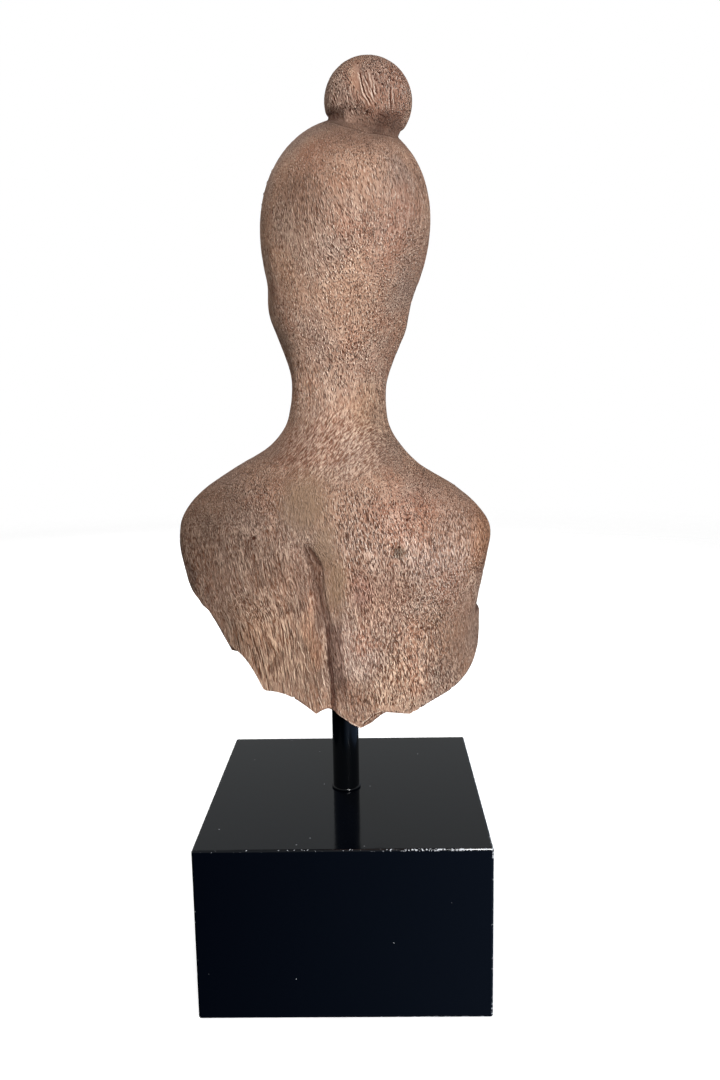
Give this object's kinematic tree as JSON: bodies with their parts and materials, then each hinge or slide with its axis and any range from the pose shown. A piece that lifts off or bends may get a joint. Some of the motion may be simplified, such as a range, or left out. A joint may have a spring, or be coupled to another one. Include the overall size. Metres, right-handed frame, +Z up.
{
  "type": "woman bust sculpture",
  "caption": "Carved wooden bust of a woman with a bun, broken off below armless shoulders, on a black rod in a square black block.",
  "frame": {"origin": "middle of the block's underside, where the stand meets the shelf", "axes": "+Z up, the face looks along -Y, the woman's left shoulder is on +X"},
  "size_m": [0.1136, 0.1, 0.3185],
  "materials": {
    "carved_wood": "dry open-grained hardwood, unpolished",
    "black_rod": "gloss black paint",
    "black_lacquer": "smooth black lacquer"
  },
  "bodies": {
    "root": {"carved_bust": "carved_wood", "mounting_rod": "black_rod", "display_block": "black_lacquer"}
  },
  "joints": []
}
